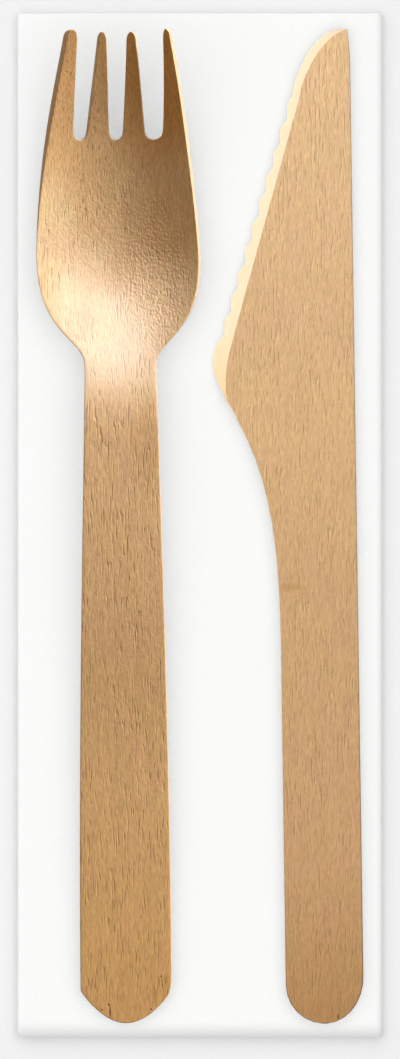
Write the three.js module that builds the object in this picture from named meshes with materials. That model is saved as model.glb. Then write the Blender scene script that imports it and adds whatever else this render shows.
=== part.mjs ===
// Wooden cutlery set: a pressed veneer fork and a stamped veneer knife that lie side by
// side on a folded paper napkin. Millimetres, +Z up, tines and blade towards +Y.
import * as THREE from "three";

// Napkin, folded once in length and twice in width
const napkinWidth = 58.8;
const napkinLength = 165;
const tissueThickness = 0.2;
const tissueGap = 0.06; // air between two layers
const freeEdgeInset = 0.8; // a free edge ends this far inside the folded one above it

// Fork: the flat blank. A place along it is a length back from the tine tips.
const forkLength = 159.7;
const forkThickness = 1.6;
const forkEndWidth = 14.7;
const forkEndRise = 5.2; // height of the handle's round end, up to its corners
const forkNeckWidth = 11.5;
const forkNeckBack = 53.8;
const forkHeadWidth = 26.3;
const forkHeadBack = 37;
const headBow = 0.37; // between neck and tips the middle line bows out to -X
const forkTipSpread = 17.1; // over the outer tines, where their tips begin to round
const forkTipShift = 0.1; // the tips lie this far to +X of the middle line
const slotLength = 17.7;
const slotBottomDepth = 1.25; // height of a slot's round bottom
const slotShares = [0.31, 0.293, 0.397]; // of the room between the tines
const tineRoots = [3.9, 3.5, 3.5, 3.62]; // widths where the slots' sides begin
const tineTips = [1.8, 1.35, 1.55, 1.2]; // widths where the tips begin to round
const tineTipDepth = 1.5; // length of a tine's round tip
const outerTipLean = 0.18; // the outer tips turn in
const innerTineSetback = 0.4; // the inner tines end short of the outer ones

// Fork: the pressed form of its middle surface
const bowlStartBack = 64.2;
const bowlBottomBack = 35;
const bowlDepth = 4.2;
const tineRise = 6; // from the bowl's bottom to the tips
const bowlRadius = 36; // hollow across the bowl
const tineRadius = 26; // hollow across the tips
const leftWallLean = 1.5; // of the -X side's wall at the tips, where 1 is square to the surface
const leftWallShare = 0.65; // of the way from the bowl's bottom to the tips, where it leans that much
const rightWallLean = 0.55; // of the +X side's wall beside the bowl, and 1 at the tips

// Knife. A place along it is a length from the handle's end.
const knifeLength = 160;
const knifeThickness = 1.6;
const knifeHandleWidth = 12.5;
const knifeEndFlat = 0.3; // the handle's end closes in a straight of this width
const knifeEndSkew = 1.25; // the handle's round end reaches this much higher on the spine's side
const handleStraightEnd = 60.5;
const heelStart = 100.8;
const heelHeight = 12.58; // up to the first tooth point
const heelBulge = 2; // the round heel stands out past the first tooth point
const bladeHeelWidth = 20.85; // from the spine to the first tooth point
const bladeFrontWidth = 10.25; // from the spine to the last one
const toothCount = 10;
const toothBackShare = 0.615; // the straight back's part of the pitch
const toothStepBack = 0.95; // from the last tooth point to where the smooth belly starts
const bellyLength = 10.6;
const tipInset = 1.3; // from the spine to where the belly ends at the top
const tipFlat = 0.9; // width of the tip's top, up to its sharp corner
const spineLean = 7; // the spine curves in over this length below the tip
const bevelHeelWidth = 2.15; // across the sanded bevel, out to the first tooth point
const bevelFrontWidth = 1.65; // out to the last tooth point
const bevelTipWidth = 1.8;
const bevelRound = 0.6; // the bevel's border bends round beside the heel over this width
const bevelEdge = 0.5; // wood left under the bevel at the first tooth point

// How the set lies: handle ends level, one piece along each long edge of the napkin
const forkMargin = 2.98;
const forkEndMargin = 2.4;
const forkYaw = THREE.MathUtils.degToRad(0.5);
const knifeMargin = 3;
const knifeEndMargin = 2.3;
const knifeYaw = THREE.MathUtils.degToRad(0.83);
const restGap = 0.1; // under the fork's two points of rest

// Straight steps that stand for a round stretch
const foldSteps = 6;
const endSteps = 6;
const sideSteps = 10;
const forkHandleSteps = 28;
const shoulderSteps = 12;
const headSteps = 8;
const slotArcSteps = 6;
const tineSteps = 6;
const tipSteps = 6;
const heelSteps = 6;
const bellySteps = 14;
const endRowShare = 0.15; // the first row of the fork's round end spans this share of its width
const plainInset = 0.35; // from the edge to the next line of the knife's grid where no bevel is
const bevelMostShare = 0.85; // of the width left at the tip

const { lerp, clamp, smoothstep } = THREE.MathUtils;
const point2 = (x, y) => new THREE.Vector2(x, y);

// A smooth side from one point to another. Each of the two inner points that shape it is given
// as shares of the way across and of the way along.
function sideCurve(from, to, [firstAcross, firstAlong], [nextAcross, nextAlong], steps) {
  const between = (across, along) => point2(lerp(from.x, to.x, across), lerp(from.y, to.y, along));
  const first = between(firstAcross, firstAlong);
  const next = between(nextAcross, nextAlong);
  return new THREE.CubicBezierCurve(from, first, next, to).getPoints(steps);
}

// A closed solid from a grid of cells with a front and a back, walled along each free edge.
// pointAt(column, row, face) gives a corner, with face 1 for the front and -1 for the back.
function sheetSolid(columns, rows, pointAt, isOpen = () => false) {
  const positions = [];
  const triangles = [];
  const known = new Map();
  const corner = (column, row, face) => {
    const key = `${column} ${row} ${face}`;
    if (!known.has(key)) {
      known.set(key, known.size);
      positions.push(...pointAt(column, row, face).toArray());
    }
    return known.get(key);
  };
  const quad = (a, b, c, d) => triangles.push(a, b, c, a, c, d);
  const wall = (c0, r0, c1, r1) =>
    quad(corner(c0, r0, -1), corner(c1, r1, -1), corner(c1, r1, 1), corner(c0, r0, 1));
  const filled = (c, r) => c >= 0 && r >= 0 && c < columns && r < rows && !isOpen(c, r);

  for (let r = 0; r < rows; r += 1) {
    for (let c = 0; c < columns; c += 1) {
      if (!filled(c, r)) continue;
      quad(corner(c, r, 1), corner(c + 1, r, 1), corner(c + 1, r + 1, 1), corner(c, r + 1, 1));
      quad(corner(c, r, -1), corner(c, r + 1, -1), corner(c + 1, r + 1, -1), corner(c + 1, r, -1));
      if (!filled(c, r - 1)) wall(c, r, c + 1, r);
      if (!filled(c + 1, r)) wall(c + 1, r, c + 1, r + 1);
      if (!filled(c, r + 1)) wall(c + 1, r + 1, c, r + 1);
      if (!filled(c - 1, r)) wall(c, r + 1, c, r);
    }
  }
  const geometry = new THREE.BufferGeometry();
  geometry.setAttribute("position", new THREE.Float32BufferAttribute(positions, 3));
  geometry.setIndex(triangles);
  geometry.computeVertexNormals();
  return geometry;
}

// Napkin

const layerPitch = tissueThickness + tissueGap;
const doublePitch = 2 * layerPitch; // the sheet is doubled before it is folded in width
const doubleHalf = (layerPitch + tissueThickness) / 2;
const napkinTop = 3 * doublePitch + 2 * doubleHalf;

// Stations along a strip that runs flat and turns back over itself at each of its turns.
// A turn has the place of its centre, its radius and its side, 1 to the left or -1 to the right.
function foldedStrip(startAt, startHeight, turns, endAt) {
  const stations = [];
  let heading = 0;
  let height = startHeight;
  const add = (along, up) =>
    stations.push({ along, up, normalAlong: -Math.sin(heading), normalUp: Math.cos(heading) });

  add(startAt, height);
  for (const { centre, radius, side } of turns) {
    const reach = side * radius;
    const centreHeight = height + reach * Math.cos(heading);
    const startHeading = heading;
    for (let step = 0; step <= foldSteps; step += 1) {
      heading = startHeading + (side * Math.PI * step) / foldSteps;
      add(centre + reach * Math.sin(heading), centreHeight - reach * Math.cos(heading));
    }
    height = centreHeight - reach * Math.cos(heading);
  }
  add(endAt, height);
  return stations;
}

// The flat sheet is doubled at its +Y end. The doubled sheet then runs along the bottom, turns
// up at +X, runs back on top, turns down at -X and lies twice more in between.
function napkinGeometry() {
  const halfWidth = napkinWidth / 2;
  const halfLength = napkinLength / 2;
  const wideTurn = 1.5 * doublePitch;
  const tightTurn = 0.5 * doublePitch;
  const foldedSide = halfWidth - wideTurn - doubleHalf;
  const backSide = -halfWidth + tightTurn + doubleHalf;
  const turnsAcross = [
    { centre: foldedSide, radius: wideTurn, side: 1 },
    { centre: backSide, radius: tightTurn, side: 1 },
    { centre: foldedSide, radius: tightTurn, side: -1 },
  ];
  const turnsAlong = [{ centre: halfLength - doubleHalf, radius: layerPitch / 2, side: 1 }];
  const across = foldedStrip(
    -halfWidth + freeEdgeInset, doubleHalf, turnsAcross, -halfWidth + 2 * freeEdgeInset,
  );
  const along = foldedStrip(-halfLength, -layerPitch / 2, turnsAlong, -halfLength);

  const pointAt = (column, row, face) => {
    const strip = across[column];
    const sheet = along[row];
    const half = (face * tissueThickness) / 2;
    const offset = sheet.up + half * sheet.normalUp;
    const x = strip.along + offset * strip.normalAlong;
    const y = sheet.along + half * sheet.normalAlong;
    return new THREE.Vector3(x, y, strip.up + offset * strip.normalUp);
  };
  return sheetSolid(across.length - 1, along.length - 1, pointAt);
}

// Fork

const forkNeckAt = forkLength - forkNeckBack;
const forkHeadAt = forkLength - forkHeadBack;
const slotRowAt = forkLength - slotLength + slotBottomDepth; // where the slots' sides begin
const tipStart = forkLength - tineTipDepth;
const bowlStartAt = forkLength - bowlStartBack;
const bowlBottomAt = forkLength - bowlBottomBack;
const headTaperPower = 1.5;
const tipClose = 0.94; // a tip's last step stops short of the full quarter turn

// Half the fork's width beside its head, from the widest place to the round tips
function headHalf(y) {
  const share = (y - forkHeadAt) / (tipStart - forkHeadAt);
  return lerp(forkHeadWidth, forkTipSpread, share ** headTaperPower) / 2;
}

// The handle's round end is a parabola that rises to a corner on each side
const forkEndHeight = (x) => forkEndRise * ((2 * x) / forkEndWidth) ** 2;

// The blank's right side as points (half width, y), from the handle's end to below the slots
function forkSide() {
  const end = [];
  for (let step = 0; step <= endSteps; step += 1) {
    const half = (lerp(endRowShare, 1, step / endSteps) * forkEndWidth) / 2;
    end.push(point2(half, forkEndHeight(half)));
  }
  const neck = point2(forkNeckWidth / 2, forkNeckAt);
  const head = point2(forkHeadWidth / 2, forkHeadAt);
  const corner = end[endSteps];
  const handle = sideCurve(corner, neck, [0, 0.4], [0.6, 0.7], forkHandleSteps);
  const shoulder = sideCurve(neck, head, [0, 0.25], [1, 0.285], shoulderSteps);
  const side = [...end, ...handle.slice(1), ...shoulder.slice(1)];
  for (let step = 1; step <= headSteps; step += 1) {
    const y = lerp(forkHeadAt, slotRowAt - 2 * slotBottomDepth, step / headSteps);
    side.push(point2(headHalf(y), y));
  }
  return side;
}

// The borders of the lanes tine, slot, tine, slot, tine, slot, tine, at a height on the tines
function tineBorders(y) {
  const share = (y - slotRowAt) / (tipStart - slotRowAt);
  const last = tineTips.length - 1;
  const widths = tineTips.map((tip, tine) => lerp(tineRoots[tine], tip, share));
  const room = 2 * headHalf(y) - widths.reduce((sum, width) => sum + width);
  const borders = [forkTipShift * share - headHalf(y)];
  widths.forEach((width, tine) => {
    borders.push(borders[borders.length - 1] + width);
    if (tine < last) borders.push(borders[borders.length - 1] + room * slotShares[tine]);
  });
  return borders;
}

// Share of the way from the bowl's bottom to the tips
const towardsTip = (y) => clamp((y - bowlBottomAt) / bowlBottomBack, 0, 1);

// Height of the pressed middle surface over the flat handle
function pressHeight(x, y) {
  const dip = bowlDepth * smoothstep(y, bowlStartAt, bowlBottomAt);
  const rise = tineRise * towardsTip(y) ** 2;
  const hollow = lerp(bowlRadius, tineRadius, towardsTip(y));
  const trough = (smoothstep(y, bowlStartAt, forkHeadAt) * x * x) / (2 * hollow);
  return rise - dip + trough;
}

// A point of the flat blank, moved aside by the head's bow
function bowed({ x, y }) {
  const share = clamp((y - forkNeckAt) / forkNeckBack, 0, 1);
  return point2(x - headBow * Math.sin(Math.PI * share) ** 2, y);
}

// A point of the flat blank after pressing. Along the fork the thickness stands upright. Across it
// the wall is steep beside the bowl, more so at -X, and leans more and more towards the tips.
function pressed(flat, face) {
  const nudge = 0.01;
  const rise = pressHeight(flat.x + nudge, flat.y) - pressHeight(flat.x - nudge, flat.y);
  const leftLean = leftWallLean * Math.min(1, towardsTip(flat.y) / leftWallShare);
  const rightLean = lerp(rightWallLean, 1, towardsTip(flat.y));
  const lean = flat.x < 0 ? leftLean : rightLean;
  const through = new THREE.Vector3(-lean * rise, 0, 2 * nudge).normalize();
  const middle = new THREE.Vector3(flat.x, flat.y, pressHeight(flat.x, flat.y));
  return middle.addScaledVector(through, (face * forkThickness) / 2);
}

function forkGeometry() {
  const side = forkSide();
  const rootBorders = tineBorders(slotRowAt);
  const laneCount = rootBorders.length - 1;
  const isSlot = (lane) => lane % 2 === 1;

  // A column has its lane and its place there, from -1 to 1. One on a slot's edge is the tine's.
  const columns = [];
  for (let lane = 0; lane < laneCount; lane += 1) {
    if (!isSlot(lane)) columns.push(...[-1, 0, 1].map((place) => ({ lane, place })));
    else {
      for (let step = 1; step < slotArcSteps; step += 1) {
        columns.push({ lane, place: -Math.cos((Math.PI * step) / slotArcSteps) });
      }
    }
  }
  const acrossLane = (borders, { lane, place }) =>
    lerp(borders[lane], borders[lane + 1], (place + 1) / 2);

  const tinePoint = (column, row) => {
    const isOuter = column.lane === 0 || column.lane === laneCount - 1;
    const roundFrom = isOuter ? tipStart : tipStart - innerTineSetback;
    const y = lerp(slotRowAt, roundFrom, Math.min(1, row / tineSteps));
    const borders = tineBorders(y);
    const x = acrossLane(borders, column);
    if (isSlot(column.lane)) return point2(x, y - slotBottomDepth * Math.sqrt(1 - column.place ** 2));
    if (row <= tineSteps) return point2(x, y);
    const angle = (tipClose * Math.PI * (row - tineSteps)) / (2 * tipSteps);
    const middle = acrossLane(borders, { lane: column.lane, place: 0 });
    const lean = isOuter ? -Math.sign(middle) * outerTipLean * (1 - Math.cos(angle)) : 0;
    return point2(lerp(middle, x, Math.cos(angle)) + lean, y + tineTipDepth * Math.sin(angle));
  };
  const flatPoint = (column, row) => {
    if (row >= side.length) return tinePoint(column, row - side.length);
    const { x: half, y } = side[row];
    const x = (acrossLane(rootBorders, column) * half) / headHalf(slotRowAt);
    return point2(x, row > 0 ? y : forkEndHeight(x)); // the first row bends with the round end
  };

  // From the slots' row on, a cell beside a slot's inner column is open
  const isOpen = (c, row) =>
    row >= side.length && (isSlot(columns[c].lane) || isSlot(columns[c + 1].lane));
  const pointAt = (c, row, face) => pressed(bowed(flatPoint(columns[c], row)), face);
  return sheetSolid(columns.length - 1, side.length + tineSteps + tipSteps, pointAt, isOpen);
}

// Knife

const knifeHalf = knifeHandleWidth / 2; // the spine runs straight on from the handle's +X side
const spineRoundTop = knifeHalf + knifeEndSkew;
const firstTooth = point2(knifeHalf - bladeHeelWidth, heelStart + heelHeight);
const bellyFoot = point2(
  knifeHalf - bladeFrontWidth + toothStepBack, knifeLength - bellyLength,
);
const toothPitch = (bellyFoot.y - firstTooth.y) / (toothCount - 1 + (1 - toothBackShare));
const toothStep = (bladeHeelWidth - bladeFrontWidth) / (toothCount - 1);

// The cutting side from the handle's end up to the tip, as points that climb all the way
function knifeEdge() {
  const flatEnd = Math.asin(knifeEndFlat / knifeHalf) - Math.PI / 2;
  const end = new THREE.EllipseCurve(0, knifeHalf, -knifeHalf, knifeHalf, flatEnd, 0).getPoints(endSteps);
  const skewEnd = point2(-knifeHalf, spineRoundTop);
  const straightEnd = point2(-knifeHalf, handleStraightEnd);
  const heelCorner = point2(firstTooth.x, heelStart);
  const heelTop = point2(firstTooth.x, firstTooth.y - toothBackShare * toothPitch);
  const heelOut = point2(firstTooth.x - heelBulge, lerp(heelStart, heelTop.y, 0.6));
  const outline = [
    ...end,
    skewEnd,
    ...sideCurve(straightEnd, heelCorner, [0, 0.5], [0.23, 0.73], sideSteps),
    ...sideCurve(heelCorner, heelOut, [0.5, 0.35], [1, 0.65], heelSteps).slice(1),
    ...sideCurve(heelOut, heelTop, [0, 0.4], [0.4, 0.75], heelSteps).slice(1),
  ];
  for (let tooth = 0; tooth < toothCount; tooth += 1) {
    const x = firstTooth.x + tooth * toothStep;
    const y = firstTooth.y + tooth * toothPitch;
    if (tooth > 0) outline.push(point2(x, y - toothBackShare * toothPitch));
    outline.push(point2(x, y));
  }
  const tip = point2(knifeHalf - tipInset, knifeLength);
  outline.push(...sideCurve(bellyFoot, tip, [-0.02, 0.14], [0.34, 1], bellySteps));
  return outline;
}

function knifeGeometry() {
  const edge = knifeEdge();
  const spine = (y) => {
    const intoEnd = Math.max(0, spineRoundTop - y) / spineRoundTop;
    const intoTip = Math.max(0, y - knifeLength + spineLean) / spineLean;
    const endWidth = knifeHalf * Math.sqrt(1 - intoEnd ** 2);
    return endWidth - (tipInset - tipFlat) * intoTip ** 2;
  };

  // The bevel's inner border runs straight beside the tooth points and bends round to run down
  // beside the heel
  const bevelBorder = (y) => {
    const share = (y - firstTooth.y) / ((toothCount - 1) * toothPitch);
    const across = (bladeHeelWidth - bladeFrontWidth) * share;
    const inward = across + lerp(bevelHeelWidth, bevelFrontWidth, share);
    return firstTooth.x + (inward + Math.hypot(inward, bevelRound)) / 2;
  };
  const footWidth = bevelBorder(bellyFoot.y) - bellyFoot.x;
  const bevelAt = ({ x, y }) => {
    if (y <= bellyFoot.y) return Math.max(0, bevelBorder(y) - x);
    return lerp(footWidth, bevelTipWidth, (y - bellyFoot.y) / bellyLength);
  };

  // How deep the bevel goes for each millimetre across: on the belly that is square to the edge
  const bevelFall = (row) => {
    const steepness = (knifeThickness - bevelEdge) / bevelHeelWidth;
    if (edge[row].y <= bellyFoot.y) return steepness;
    const before = edge[row - 1];
    const after = edge[Math.min(row + 1, edge.length - 1)];
    return (steepness * (after.y - before.y)) / after.distanceTo(before);
  };

  // Columns: the cutting edge, the bevel's border, the middle of the flat and the spine
  const pointAt = (column, row, face) => {
    const { x, y } = edge[row];
    const far = spine(y);
    const bevel = Math.min(bevelAt(edge[row]), (far - x) * bevelMostShare);
    const border = x + Math.max(bevel, Math.min(plainInset, (far - x) / 3));
    const places = [x, border, (border + far) / 2, far];
    const top = column === 0 ? knifeThickness - bevel * bevelFall(row) : knifeThickness;
    return new THREE.Vector3(places[column], y, face > 0 ? top : 0);
  };
  return sheetSolid(3, edge.length - 1, pointAt);
}

// Assembly

function piece(name, geometry, color, roughness) {
  const finish = { color, roughness, metalness: 0, flatShading: true };
  const mesh = new THREE.Mesh(geometry, new THREE.MeshStandardMaterial(finish));
  mesh.name = name;
  return mesh;
}

const napkin = piece("napkin", napkinGeometry(), 0xfbfaf8, 0.95);

// The fork rests on its handle's end and on the bottom of its bowl
const fork = piece("fork", forkGeometry(), 0xc4986a, 0.5);
fork.rotation.order = "ZXY";
fork.rotation.set(Math.atan2(bowlDepth, bowlBottomAt), 0, forkYaw);
fork.updateMatrixWorld();
const forkLowest = new THREE.Box3().setFromObject(fork, true).min.z;
const headShift = forkHeadAt * Math.sin(forkYaw); // the turn carries the head towards -X
fork.position.set(
  -napkinWidth / 2 + forkMargin + headBow + forkHeadWidth / 2 + headShift,
  -napkinLength / 2 + forkEndMargin,
  napkinTop + restGap - forkLowest,
);

const knife = piece("knife", knifeGeometry(), 0xd0a679, 0.55);
knife.rotation.z = knifeYaw;
knife.position.set(
  napkinWidth / 2 - knifeMargin - knifeHalf,
  -napkinLength / 2 + knifeEndMargin,
  napkinTop,
);

const cutlerySet = new THREE.Group();
cutlerySet.add(napkin, fork, knife);

export default cutlerySet;
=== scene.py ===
import math

import bpy
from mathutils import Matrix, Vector, noise


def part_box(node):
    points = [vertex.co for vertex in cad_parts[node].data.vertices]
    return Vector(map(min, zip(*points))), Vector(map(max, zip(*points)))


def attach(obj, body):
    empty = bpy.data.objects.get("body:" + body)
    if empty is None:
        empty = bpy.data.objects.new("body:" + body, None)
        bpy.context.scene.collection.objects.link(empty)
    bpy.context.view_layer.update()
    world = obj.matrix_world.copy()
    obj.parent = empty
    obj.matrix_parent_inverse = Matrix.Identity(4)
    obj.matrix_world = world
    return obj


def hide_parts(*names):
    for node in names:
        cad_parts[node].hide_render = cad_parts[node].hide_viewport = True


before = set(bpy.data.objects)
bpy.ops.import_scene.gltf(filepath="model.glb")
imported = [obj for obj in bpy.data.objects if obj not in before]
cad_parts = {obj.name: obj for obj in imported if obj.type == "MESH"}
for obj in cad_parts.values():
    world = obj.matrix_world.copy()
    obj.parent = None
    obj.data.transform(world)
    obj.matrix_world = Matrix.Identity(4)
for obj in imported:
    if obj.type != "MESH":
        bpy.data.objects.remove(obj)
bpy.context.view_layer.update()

# A wooden fork and knife on a folded paper napkin, seen from straight above.
# Sizes are in millimetres, and mm turns them into Blender's metres.
mm = 0.001
print("frame loaded:", sorted(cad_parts))


def toLinear(hexColour):
    shares = [int(hexColour[i:i + 2], 16) / 255 for i in (1, 3, 5)]
    return [s / 12.92 if s <= 0.04045 else ((s + 0.055) / 1.055) ** 2.4 for s in shares] + [1.0]


# Adds a node, whose inputs take values or linked outputs, and gives one of its own outputs. Inputs
# also go by number: in Map Range 0 is the value, 1 and 2 its range and 3 and 4 the new range, and in
# Mix 0 is the share and 6 and 7 are the two colours, with the result at output 2.
def addNode(tree, kind, inputs, out=0, **settings):
    node = tree.nodes.new("ShaderNode" + kind)
    for name, value in settings.items():
        setattr(node, name, value)
    for name, value in inputs.items():
        if isinstance(value, bpy.types.NodeSocket):
            tree.links.new(value, node.inputs[name])
        else:
            node.inputs[name].default_value = value
    return node.outputs[out]


def newMaterial(name):
    material = bpy.data.materials.new(name)
    material.use_nodes = True
    return material, material.node_tree, material.node_tree.nodes["Principled BSDF"]


# A colour that changes along a piece, from stops of a place in Y and a colour there
def alongPiece(tree, place, stops):
    first, last = stops[0][0], stops[-1][0]
    y = addNode(tree, "SeparateXYZ", {0: place}, out="Y")
    share = addNode(tree, "MapRange", {0: y, 1: first * mm, 2: last * mm})
    ramp = addNode(tree, "ValToRGB", {0: share})
    marks = ramp.node.color_ramp.elements
    for at, _ in stops[1:-1]:
        marks.new((at - first) / (last - first))
    for mark, (_, colour) in zip(marks, stops):
        mark.color = colour
    return ramp


woodIor = 1.5
waxIor = 1.6
spotCore = 0.4                    # share of an oval spot's reach that is in full, before it fades
strayPores = 0.2                  # how open the pores between their groups are

# The part of a noise's range that a pattern uses, as Map Range takes it. A narrow one has hard edges.
softSpan = {1: 0.25, 2: 0.75}
mediumSpan = {1: 0.3, 2: 0.7}
firmSpan = {1: 0.35, 2: 0.65}
hardSpan = {1: 0.4, 2: 0.6}


# Birch veneer, peeled thin and dried: fine fibres along the piece, short open pores that catch the
# light on one side, soft streaks, patches that are a little redder or yellower, and a tone that
# changes slowly along the piece. Real fibres and pores are about 0.1 mm wide or less, too fine to show
# in the render, so they are drawn two to four times as wide.
# In look, a size is across and along the grain. Spots, crumbled places and nicks are ovals, each with
# its middle, half width and half length. A spot is a mark in the wood, a patch of painted shade or a patch
# of painted highlight. Tones and reliefs are stops along the piece.
def birchFace(name, look):
    material, tree, shader = newMaterial(name)
    place = addNode(tree, "TexCoord", {}, out="Object")
    turn = (0, 0, math.radians(look["yaw"]))

    # a noise that is drawn out along the grain
    def grain(at, across, along, detail):
        size = (across * mm, along * mm, across * mm)
        fit = addNode(tree, "Mapping", {"Vector": at, "Rotation": turn, "Scale": size},
                      vector_type="TEXTURE")
        return addNode(tree, "TexNoise", {"Vector": fit, "Scale": 1, "Detail": detail})

    # how far a place lies inside an oval spot: 1 in its middle and 0 outside it
    def spot(x, y, wide, long):
        fit = addNode(tree, "Mapping", {"Vector": place, "Location": (x * mm, y * mm, 0),
                                        "Scale": (wide * mm, long * mm, 1)}, vector_type="TEXTURE")
        reach = addNode(tree, "VectorMath", {0: fit}, out="Value", operation="LENGTH")
        return addNode(tree, "MapRange", {0: reach, 1: spotCore, 2: 1, 3: 1, 4: 0})

    # the fibres wander sideways a little, so no line is quite straight
    aside = look["wander"] * mm
    wander = grain(place, *look["wanderSize"], detail=1)
    shift = addNode(tree, "MapRange", {0: wander, **softSpan, 3: -aside, 4: aside})
    sideways = addNode(tree, "CombineXYZ", {"X": shift})
    wavy = addNode(tree, "VectorMath", {0: place, 1: sideways}, operation="ADD")

    fibre = grain(wavy, *look["fibreSize"], detail=2)
    streak = grain(wavy, *look["streakSize"], detail=2)
    patch = grain(place, *look["patchSize"], detail=1)
    ripple = grain(wavy, *look["rippleSize"], detail=1)

    # pores come in loose groups
    low, high = look["poreFrom"]
    opened = addNode(tree, "MapRange", {0: grain(wavy, *look["poreSize"], detail=0), 1: low, 2: high})
    clusters = grain(place, *look["poreGroup"], detail=1)
    group = addNode(tree, "MapRange", {0: clusters, **hardSpan, 3: strayPores})
    pores = addNode(tree, "Math", {0: opened, 1: group}, operation="MULTIPLY")

    tone = alongPiece(tree, place, [(at, toLinear(colour)) for at, colour in look["tones"]])
    # each spot mixes its colour into the tone: some are marks in the wood, the others painted shade and
    # painted highlight
    for *oval, colour in look["spotsAndPaintedLight"]:
        tone = addNode(tree, "Mix", {0: spot(*oval), 6: tone, 7: toLinear(colour)}, out=2,
                       data_type="RGBA")
    blush = addNode(tree, "MapRange", {0: patch, **firmSpan})
    tint = addNode(tree, "Mix", {0: blush, 6: toLinear(look["redTint"]), 7: toLinear(look["yellowTint"])},
                   out=2, data_type="RGBA")
    tinted = addNode(tree, "VectorMath", {0: tone, 1: tint}, operation="MULTIPLY")
    fromStreak = addNode(tree, "MapRange", {0: streak, **mediumSpan, 3: -look["streak"],
                                            4: look["streak"]})
    fromFibre = addNode(tree, "MapRange", {0: fibre, **softSpan, 3: 1 - look["fibre"],
                                           4: 1 + look["fibre"]})
    lift = addNode(tree, "Math", {0: fromStreak, 1: fromFibre}, operation="ADD")
    wood = addNode(tree, "VectorMath", {0: tinted, "Scale": lift}, operation="SCALE")
    shade = addNode(tree, "Math", {0: pores, 1: look["poreShade"]}, operation="MULTIPLY")
    colour = addNode(tree, "Mix", {0: shade, 6: wood, 7: toLinear(look["poreTone"])}, out=2,
                     data_type="RGBA")

    # the pores lie in the surface, and fibres and ripples stand a little proud of it
    relief = addNode(tree, "MapRange", {0: pores, 3: 1, 4: 0})
    relief = addNode(tree, "Math", {0: fibre, 1: look["fibreRelief"], 2: relief}, operation="MULTIPLY_ADD")
    relief = addNode(tree, "Math", {0: ripple, 1: look["rippleRelief"], 2: relief}, operation="MULTIPLY_ADD")

    # the press crumbles the face where it stretches
    for *oval, crumbling in look["crumbled"]:
        extra = addNode(tree, "Math", {0: spot(*oval), 1: crumbling}, operation="MULTIPLY")
        relief = addNode(tree, "Math", {0: ripple, 1: extra, 2: relief}, operation="MULTIPLY_ADD")

    # nicks and short splits are dark slivers that go deeper than a pore
    for nick in look["nicks"]:
        sliver = spot(*nick)
        colour = addNode(tree, "Mix", {0: sliver, 6: colour, 7: toLinear(look["nickTone"])}, out=2,
                         data_type="RGBA")
        relief = addNode(tree, "Math", {0: sliver, 1: -look["nickDepth"], 2: relief},
                         operation="MULTIPLY_ADD")

    strength = alongPiece(tree, place, [(at, (level, level, level, 1)) for at, level in look["reliefs"]])
    bump = addNode(tree, "Bump", {"Strength": strength, "Distance": look["relief"] * mm, "Height": relief})
    glossy, dull = look["roughness"]
    rough = addNode(tree, "MapRange", {0: fibre, **mediumSpan, 3: glossy, 4: dull})
    tree.links.new(colour, shader.inputs["Base Color"])
    tree.links.new(rough, shader.inputs["Roughness"])
    tree.links.new(bump, shader.inputs["Normal"])
    shader.inputs["IOR"].default_value = woodIor
    shader.inputs["Coat Weight"].default_value = look["wax"]
    shader.inputs["Coat IOR"].default_value = waxIor
    shader.inputs["Coat Roughness"].default_value = look["waxRoughness"]
    return material


# Cut birch, where a die or a sander went through the veneer: dull, with short fibres and no pores. The
# die leaves walls that are browner than the face, and the sander leaves a pale bevel. Some walls carry
# painted shade: a greyer, duller copy on the fork's head walls that face its raking lamp, and tones that
# darken toward the knife's handle end.
def cutBirch(name, look):
    material, tree, shader = newMaterial(name)
    place = addNode(tree, "TexCoord", {}, out="Object")
    size = [s * mm for s in look["fibreSize"]]
    fit = addNode(tree, "Mapping", {"Vector": place, "Scale": size}, vector_type="TEXTURE")
    fibre = addNode(tree, "TexNoise", {"Vector": fit, "Scale": 1, "Detail": 3})
    tone = alongPiece(tree, place, [(at, toLinear(colour)) for at, colour in look["tones"]])
    lift = addNode(tree, "MapRange", {0: fibre, **softSpan, 3: 1 - look["fibre"],
                                      4: 1 + look["fibre"]})
    colour = addNode(tree, "VectorMath", {0: tone, "Scale": lift}, operation="SCALE")
    bump = addNode(tree, "Bump", {"Strength": 1, "Distance": look["relief"] * mm, "Height": fibre})
    tree.links.new(colour, shader.inputs["Base Color"])
    tree.links.new(bump, shader.inputs["Normal"])
    shader.inputs["Roughness"].default_value = look["roughness"]
    shader.inputs["IOR"].default_value = woodIor
    return material


# Tissue paper, two soft plies creped on a drum: dull white with a fine crinkle across the sheet
def tissuePaper(name, look):
    material, tree, shader = newMaterial(name)
    place = addNode(tree, "TexCoord", {}, out="Object")
    size = [s * mm for s in look["crepeSize"]]
    fit = addNode(tree, "Mapping", {"Vector": place, "Scale": size}, vector_type="TEXTURE")
    crepe = addNode(tree, "TexNoise", {"Vector": fit, "Scale": 1, "Detail": 3})
    colour = addNode(tree, "Mix", {0: crepe, 6: toLinear(look["shadeTone"]), 7: toLinear(look["tone"])},
                     out=2, data_type="RGBA")
    bump = addNode(tree, "Bump", {"Strength": 1, "Distance": look["relief"] * mm, "Height": crepe})
    tree.links.new(colour, shader.inputs["Base Color"])
    tree.links.new(bump, shader.inputs["Normal"])
    shader.inputs["Roughness"].default_value = look["roughness"]
    shader.inputs["Specular IOR Level"].default_value = look["specular"]
    return material


copySettings = {
    "mergeWithin": 0.001,
    "quadBend": 0.9,              # the most that two joined triangles may be bent, in radians
    "quadSkew": 3.1,              # the most that a quad may be out of square, in radians
    "quadOrder": 1.0,             # how much regular rows of quads are preferred
}


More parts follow.
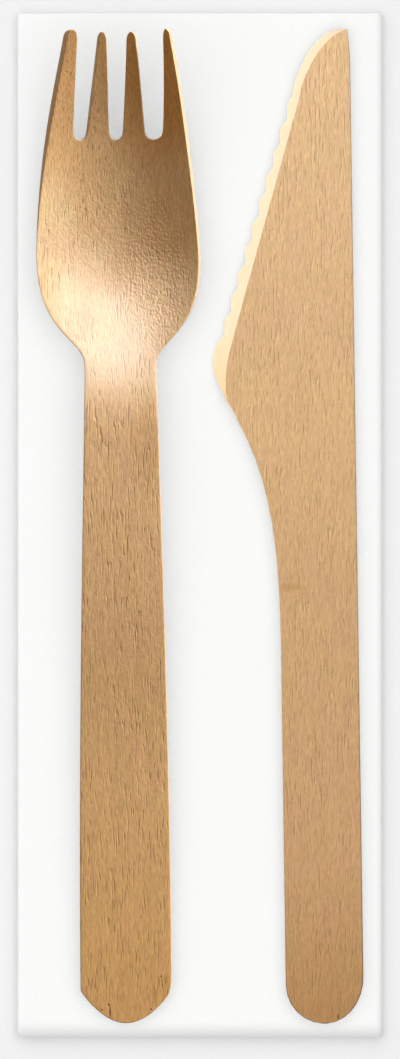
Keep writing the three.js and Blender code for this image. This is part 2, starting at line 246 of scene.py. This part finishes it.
# A merged copy of a CAD piece, in quads, as the start of a finished one
def copyOfNode(nodeName, pieceName):
    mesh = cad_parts[nodeName].data.copy()
    mesh.materials.clear()
    piece = bpy.data.objects.new(pieceName, mesh)
    bpy.context.scene.collection.objects.link(piece)
    bpy.ops.object.select_all(action="DESELECT")
    bpy.context.view_layer.objects.active = piece
    piece.select_set(True)
    bpy.ops.object.mode_set(mode="EDIT")
    bpy.ops.mesh.select_all(action="SELECT")
    bpy.ops.mesh.customdata_custom_splitnormals_clear()
    bpy.ops.mesh.remove_doubles(threshold=copySettings["mergeWithin"] * mm)
    bpy.ops.mesh.tris_convert_to_quads(face_threshold=copySettings["quadBend"],
                                       shape_threshold=copySettings["quadSkew"],
                                       topology_influence=copySettings["quadOrder"])
    bpy.ops.object.mode_set(mode="OBJECT")
    return piece


# A row of points straight across a piece, from its -X side to its middle
def cutRow(piece, y, middle):
    bpy.ops.object.mode_set(mode="EDIT")
    bpy.ops.mesh.select_mode(type="FACE")
    bpy.ops.mesh.select_all(action="DESELECT")
    bpy.ops.object.mode_set(mode="OBJECT")
    for face in piece.data.polygons:
        face.select = face.center.x < middle * mm
    bpy.ops.object.mode_set(mode="EDIT")
    bpy.ops.mesh.bisect(plane_co=(0, y * mm, 0), plane_no=(0, 1, 0))
    bpy.ops.object.mode_set(mode="OBJECT")


# Rounds the rim, where a face meets the cut wall
def roundRim(piece, radius, segments, wallSlope):
    mesh = piece.data
    wallSides = {}
    for face in mesh.polygons:
        isWall = abs(face.normal.z) < wallSlope
        for key in face.edge_keys:
            wallSides.setdefault(key, set()).add(isWall)
    bpy.ops.object.mode_set(mode="EDIT")
    bpy.ops.mesh.select_mode(type="EDGE")
    bpy.ops.mesh.select_all(action="DESELECT")
    bpy.ops.object.mode_set(mode="OBJECT")
    for edge in mesh.edges:
        edge.select = len(wallSides[edge.key]) == 2
    bpy.ops.object.mode_set(mode="EDIT")
    bpy.ops.mesh.bevel(offset=radius * mm, segments=segments, affect="EDGES")
    bpy.ops.object.mode_set(mode="OBJECT")


def applyModifier(piece, kind, **settings):
    bpy.ops.object.modifier_add(type=kind)
    modifier = piece.modifiers[-1]
    for name, value in settings.items():
        setattr(modifier, name, value)
    bpy.ops.object.modifier_apply(modifier=modifier.name)


# Gives a piece its finishes, and each face the one that finishOf names for it
def giveFinishes(piece, finishes, finishOf):
    for material in finishes.values():
        piece.data.materials.append(material)
    slots = list(finishes)
    for face in piece.data.polygons:
        face.material_index = slots.index(finishOf(face))


# Napkin

napkinSettings = {
    "tissueThickness": 0.16,
    "layerPitch": 0.26,           # from one layer to the next
    "boxEdge": 0.1,               # from the middle of an outer layer to the box
    "freeEdgeInset": 0.8,
    "flatStep": 2.6,              # mesh spacing on the flat stretches
    "turnSteps": 8,
    "wave": 0.02,                 # how far a layer strays up and down
    "waveSize": (14, 22, 0.4),
    "flatCut": (232, 330),
    "paper": {"crepeSize": (0.9, 0.35, 0.9), "shadeTone": "#f6f6f5", "tone": "#fcfcfb", "relief": 0.012,
              "roughness": 0.95, "specular": 0.2},
}


# Stations of a strip that runs flat and turns back over itself at each fold: along, up, heading
def foldPath(start, up, turns, end, look):
    stations = []
    heading = 0.0
    for centre, radius, side in [*turns, (end, 0, 0)]:
        steps = max(2, round(abs(centre - start) / look["flatStep"]))
        stations += [(start + (centre - start) * i / steps, up, heading) for i in range(steps)]
        reach = side * radius
        middle = up + reach * math.cos(heading)
        for i in range(look["turnSteps"] if side else 0):
            turned = heading + side * math.pi * i / look["turnSteps"]
            stations.append((centre + reach * math.sin(turned), middle - reach * math.cos(turned), turned))
        heading += side * math.pi
        start, up = centre, middle - reach * math.cos(heading)
    return [*stations, (end, up, heading)]


# The sheet is doubled at its +Y end. The doubled sheet runs along the bottom, turns up at +X, runs
# back on top, turns down at -X and lies twice more in between.
def makeNapkin(look):
    low, high = (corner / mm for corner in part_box("napkin"))
    pitch = look["layerPitch"]
    double = 2 * pitch
    edge = look["boxEdge"]
    bottom = edge + pitch / 2
    wide, tight = 1.5 * double, 0.5 * double    # radii of the fold over three layers and of those over one
    foldSide = high.x - wide - pitch / 2 - edge
    backSide = low.x + tight + pitch / 2 + edge
    turns = [(foldSide, wide, 1), (backSide, tight, 1), (foldSide, tight, -1)]
    inset = look["freeEdgeInset"]
    across = foldPath(low.x + inset, bottom, turns, low.x + 2 * inset, look)
    along = foldPath(low.y, -pitch / 2, [(high.y - pitch / 2 - edge, pitch / 2, 1)], low.y, look)

    bpy.ops.object.select_all(action="DESELECT")
    bpy.ops.mesh.primitive_grid_add(x_subdivisions=len(across) - 1, y_subdivisions=len(along) - 1, size=1)
    napkin = bpy.context.active_object
    napkin.name = "napkinSheet"
    # the flat grid runs from -0.5 to 0.5 each way, so a point's place there gives its two stations
    for vertex in napkin.data.vertices:
        a, up, heading = across[round((vertex.co.x + 0.5) * (len(across) - 1))]
        y, offset, _ = along[round((vertex.co.y + 0.5) * (len(along) - 1))]
        spot = Vector((a - offset * math.sin(heading), y, up + offset * math.cos(heading)))
        stray = noise.noise([c / s for c, s in zip(spot, look["waveSize"])])
        spot.z += look["wave"] * stray
        vertex.co = spot * mm
    applyModifier(napkin, "SOLIDIFY", thickness=look["tissueThickness"] * mm, offset=0)
    bpy.ops.object.shade_smooth()
    napkin.data.materials.append(tissuePaper("tissuePaper", look["paper"]))
    return napkin


napkin = makeNapkin(napkinSettings)
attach(napkin, "root")
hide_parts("napkin")
print("napkin folded:", len(napkin.data.polygons), "faces")


# Fork

forkSettings = {
    "rimRadius": 0.12,
    "rimSegments": 2,
    "wallSlope": 0.7,             # a face whose normal rises less than this is a cut wall
    "smoothLevels": 2,
    "smoothAngle": 50,            # an edge that bends more than this stays sharp, in degrees
    "endRise": 5.2,               # from the handle's end up to its two corners
    "endMiddle": -12,
    "cornerHold": 0.5,            # rows this far from the corner at -X keep it crisp
    "shadePaintedFrom": 10,                # past this place the walls to +X get painted shade
    "face": {
        "yaw": 0.5,
        # and darker in green and blue at 29 as painted shade where the sheen is too pale
        # the stops at 24 and 29 mm set the neck's colour inside the sheen: yellower at 24 as painted
        # highlight,
        "tones": [(-78, "#d19e60"), (-44, "#d1a36b"), (-25, "#c59966"), (15, "#d9ad7c"), (24, "#d8b181"),
                  (29, "#d6a976"), (45, "#d5ab7a"), (60, "#d3a571"), (76, "#bf8f5a")],
        # to +X and where the sheen is too pale; the second, third and sixth are painted highlight that
        # widens the sheen
        # tone spots: the first, fourth, fifth and seventh are painted shade, on the tines and bowl to +X,
        # beside the neck
        "spotsAndPaintedLight": [(-5, 74, 12, 23, "#ba7c34"), (-6, 38, 8, 9, "#e6ba88"), (-24, 47, 6, 12, "#d6b386"),
                  (-4.5, 49, 9, 11, "#c8965f"), (-8.3, 12.5, 4.5, 10, "#cca06e"),
                  (-19.5, 43, 6.5, 5, "#dab489"), (-19.3, 32.5, 3, 4, "#d29f66")],
        "poreTone": "#7a5024", "redTint": "#fffbfb", "yellowTint": "#fffff6",
        "wander": 0.05, "wanderSize": (5, 20),
        "fibreSize": (0.24, 1.3), "fibre": 0.17, "fibreRelief": 0.5,
        "streakSize": (0.6, 14), "streak": 0.07, "patchSize": (2.4, 6),
        "rippleSize": (0.35, 0.5), "rippleRelief": 0.4,
        "crumbled": [(-15, 47, 14, 16, 0.8), (-6, 40, 8, 15, 2.0)],
        "poreSize": (0.27, 2.6), "poreFrom": (0.6, 0.72), "poreGroup": (2.5, 7), "poreShade": 0.28,
        "nicks": [(-14.5, -78.4, 0.18, 1.1), (-14.7, -77.2, 0.26, 0.22), (-15.8, -78.0, 0.2, 0.22),
                  (-7.9, -77.9, 0.22, 0.22), (-6.3, -72.6, 0.16, 0.22)],
        "nickTone": "#7a5223", "nickDepth": 2.8,
        "relief": 0.085, "reliefs": [(-78, 0.34), (-40, 0.75), (-10, 0.9), (10, 0.9), (25, 0.8), (40, 0.6),
                                    (50, 0.85), (76, 0.5)],
        "roughness": (0.34, 0.4), "wax": 1.0, "waxRoughness": 0.22,
    },
    # the die burnishes the walls; the head's walls to +X face the raking lamp and get a greyer, duller
    # colour, painted shade that tones that lamp down
    "burnished": {"tones": [(-80, "#c3985d"), (44, "#c3985d"), (62, "#af8146"), (80, "#af8146")],
                  "fibreSize": (0.3, 1.6, 0.3), "fibre": 0.2, "relief": 0.01, "roughness": 0.6},
    # greyer and duller than the burnished walls: painted shade on the walls that face the raking lamp
    "shadePaintedWall": {"tones": [(-80, "#b29a76"), (80, "#b29a76")],
            "fibreSize": (0.3, 1.6, 0.3), "fibre": 0.25, "relief": 0.01, "roughness": 0.7},
}


def makeFork(look):
    fork = copyOfNode("fork", "pressedFork")
    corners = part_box("fork")[0].y / mm + look["endRise"]
    cutRow(fork, corners - look["cornerHold"], look["endMiddle"])
    cutRow(fork, corners + look["cornerHold"], look["endMiddle"])
    roundRim(fork, look["rimRadius"], look["rimSegments"], look["wallSlope"])
    applyModifier(fork, "SUBSURF", levels=look["smoothLevels"], render_levels=look["smoothLevels"])
    bpy.ops.object.shade_smooth_by_angle(angle=math.radians(look["smoothAngle"]))

    def finishOf(face):
        if abs(face.normal.z) >= look["wallSlope"]:
            return "face"
        # the head's walls to +X face the raking lamp and get the greyer copy, as painted shade
        isShadePainted = face.normal.x > 0 and face.center.y > look["shadePaintedFrom"] * mm
        return "shadePaintedWall" if isShadePainted else "burnished"

    finishes = {
        "face": birchFace("pressedBirch", look["face"]),
        "burnished": cutBirch("burnishedCutBirch", look["burnished"]),
        "shadePaintedWall": cutBirch("shadePaintedCutBirch", look["shadePaintedWall"]),
    }
    giveFinishes(fork, finishes, finishOf)
    return fork


fork = makeFork(forkSettings)
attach(fork, "root")
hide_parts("fork")
fork.visible_diffuse = False      # the paper's shadows stay neutral, with no colour thrown by the wood
print("fork pressed:", len(fork.data.polygons), "faces")


# Knife

knifeSettings = {
    "rimRadius": 0.15,
    "rimSegments": 2,
    "wallSlope": 0.5,
    "smoothAngle": 8,
    "cutSlope": 0.95,             # a face whose normal rises less than this is a wall or its rim
    "bevelSlope": (0.2, 0.97),    # a blade's face to -X that rises between these is the sanded bevel
    "bladeFrom": 18,
    "tipFrom": 78,                # past this place the whole rim is sanded
    "face": {
        "yaw": 0.83,
        # the tone, lighter at the tip and darker toward the handle's end, is painted light falloff
        "tones": [(-78, "#b4864f"), (-55, "#c89b6b"), (-8, "#d0a675"), (14, "#dbb17f"), (32, "#dcb383"),
                  (78, "#e9c091")],
        "spotsAndPaintedLight": [(14.6, -10, 3, 0.9, "#c49762")],
        "poreTone": "#8a6030", "redTint": "#fffcfb", "yellowTint": "#fffff6",
        "wander": 0.08, "wanderSize": (5, 20),
        "fibreSize": (0.22, 1.1), "fibre": 0.16, "fibreRelief": 0.6,
        "streakSize": (0.6, 14), "streak": 0.05, "patchSize": (2.4, 6),
        "rippleSize": (0.3, 0.4), "rippleRelief": 0.6, "crumbled": [],
        "poreSize": (0.36, 2.4), "poreFrom": (0.57, 0.7), "poreGroup": (2.5, 7), "poreShade": 0.02,
        "nicks": [(22.3, -79.1, 0.2, 0.5)], "nickTone": "#7d5526", "nickDepth": 2,
        "relief": 0.09, "reliefs": [(-78, 0.75), (-30, 0.9), (78, 0.9)],
        "roughness": (0.45, 0.6), "wax": 0, "waxRoughness": 0.3,
    },
    # the cut walls and rim darken toward the handle's end as painted shade
    "cut": {"tones": [(-80, "#7a5830"), (-62, "#a07a4b"), (-20, "#bd9664"), (80, "#d6b282")],
            "fibreSize": (0.3, 1.6, 0.3), "fibre": 0.25, "relief": 0.01, "roughness": 0.65},
    "bevel": {"tones": [(18, "#e6c795"), (24, "#e8cb9f"), (34, "#ead2ad"), (80, "#ead2ad")],
              "fibreSize": (0.25, 2.0, 0.25), "fibre": 0.06, "relief": 0.006, "roughness": 0.7},
}


def makeKnife(look):
    knife = copyOfNode("knife", "sandedKnife")
    roundRim(knife, look["rimRadius"], look["rimSegments"], look["wallSlope"])
    bpy.ops.object.shade_smooth_by_angle(angle=math.radians(look["smoothAngle"]))
    low, high = look["bevelSlope"]

    def finishOf(face):
        sandedFrom = look["tipFrom"] if face.normal.x > 0 else look["bladeFrom"]
        if low < face.normal.z < high and face.center.y / mm > sandedFrom:
            return "bevel"
        return "cut" if abs(face.normal.z) < look["cutSlope"] else "face"

    finishes = {
        "face": birchFace("sandedBirch", look["face"]),
        "cut": cutBirch("cutBirchKnife", look["cut"]),
        "bevel": cutBirch("bevelBirch", look["bevel"]),
    }
    giveFinishes(knife, finishes, finishOf)
    return knife


knife = makeKnife(knifeSettings)
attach(knife, "root")
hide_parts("knife")
knife.visible_diffuse = False     # as on the fork
print("knife ground:", len(knife.data.polygons), "faces")


# Floor, light and camera

# the floor lies a hair under the napkin
floorSettings = {"size": 12000, "drop": 0.05, "tone": "#f0f0f0", "roughness": 0.9, "specular": 0.1}


def makeFloor(look):
    bpy.ops.object.select_all(action="DESELECT")
    bpy.ops.mesh.primitive_plane_add(size=look["size"] * mm, location=(0, 0, -look["drop"] * mm))
    floor = bpy.context.active_object
    floor.name = "floor"
    material, _, shader = newMaterial("paleTable")
    shader.inputs["Base Color"].default_value = toLinear(look["tone"])
    shader.inputs["Roughness"].default_value = look["roughness"]
    shader.inputs["Specular IOR Level"].default_value = look["specular"]
    floor.data.materials.append(material)
    return floor


floor = makeFloor(floorSettings)

# A lamp's level is the light that it gives a level surface, where 1 shows a colour as written. Each
# piece has its own lamps, as if the set had been lit and photographed piece by piece.
lampSettings = {
    "paperCeiling": {"around": 0, "above": 90, "distance": 2000, "size": (8000, 8000), "level": 0.46,
                     "lights": [napkin, floor], "shades": [napkin, floor, fork, knife]},
    "paperFill": {"around": 130, "above": 70, "distance": 2000, "size": (8000, 8000), "level": 0.455,
                  "lights": [napkin, floor], "shades": [napkin, floor]},
    "knifeCeiling": {"around": 0, "above": 90, "distance": 2000, "size": (8000, 8000), "level": 0.64,
                     "lights": [knife], "shades": [knife, napkin]},
    "knifeSoftbox": {"around": 150, "above": 18, "distance": 1500, "size": (400, 400), "level": 0.25,
                     "lights": [knife], "shades": [knife, napkin]},
    "rakingSoftbox": {"around": 38, "above": 12.5, "distance": 2000, "size": (600, 600), "level": 0.52,
                      "lights": [fork], "shades": [fork, napkin]},
    "sheenSoftbox": {"around": 75, "above": 67, "distance": 1500, "size": (1750, 300), "level": 0.42,
                     "lights": [fork], "shades": [fork, napkin]},
}


def addLamp(name, look):
    around, above = math.radians(look["around"]), math.radians(look["above"])
    flat = math.cos(above)
    toLamp = Vector((flat * math.cos(around), flat * math.sin(around), math.sin(above)))
    distance = look["distance"] * mm
    wide, high = (side * mm for side in look["size"])
    turn = toLamp.to_track_quat("Z", "Y").to_euler()
    bpy.ops.object.light_add(type="AREA", location=toLamp * distance, rotation=turn)
    lamp = bpy.context.active_object
    lamp.name = name
    lamp.data.shape = "ELLIPSE"
    lamp.data.size, lamp.data.size_y = wide, high
    # the watts at which an elliptical lamp gives that level, at its distance and slant
    lamp.data.energy = look["level"] * math.pi ** 2 * (distance ** 2 + wide * high / 4) / math.sin(above)
    lamp.visible_camera = False
    receivers = bpy.data.collections.new(name + "Lights")
    blockers = bpy.data.collections.new(name + "Shades")
    for piece in look["lights"]:
        receivers.objects.link(piece)
    for piece in look["shades"]:
        blockers.objects.link(piece)
    lamp.light_linking.receiver_collection = receivers
    lamp.light_linking.blocker_collection = blockers


for name, look in lampSettings.items():
    addLamp(name, look)

# the world gives even light from all round and is seen as a pale backdrop
worldSettings = {"ambient": 0.1, "backdrop": 0.93}
world = bpy.data.worlds.new("studio")
bpy.context.scene.world = world
world.use_nodes = True
sky = world.node_tree.nodes["Background"]
rays = addNode(world.node_tree, "LightPath", {}, out="Is Camera Ray")
seen = addNode(world.node_tree, "MapRange", {0: rays, 3: worldSettings["ambient"],
                                               4: worldSettings["backdrop"]})
world.node_tree.links.new(seen, sky.inputs["Strength"])
sky.inputs["Color"].default_value = (1, 1, 1, 1)

cameraSettings = {
    "height": 1500,               # over the level at which the frame is measured
    "level": 2,
    "frameLength": 170.55,
    "centreY": -0.684,
    "sensor": 36,
}


def addCamera(look):
    bpy.ops.object.camera_add(location=(0, look["centreY"] * mm, (look["height"] + look["level"]) * mm))
    camera = bpy.context.active_object
    camera.data.sensor_width = look["sensor"]
    camera.data.lens = look["sensor"] * look["height"] / look["frameLength"]
    bpy.context.scene.camera = camera


addCamera(cameraSettings)
bpy.context.scene.view_settings.view_transform = "Standard"
print("floor, lamps and camera set")
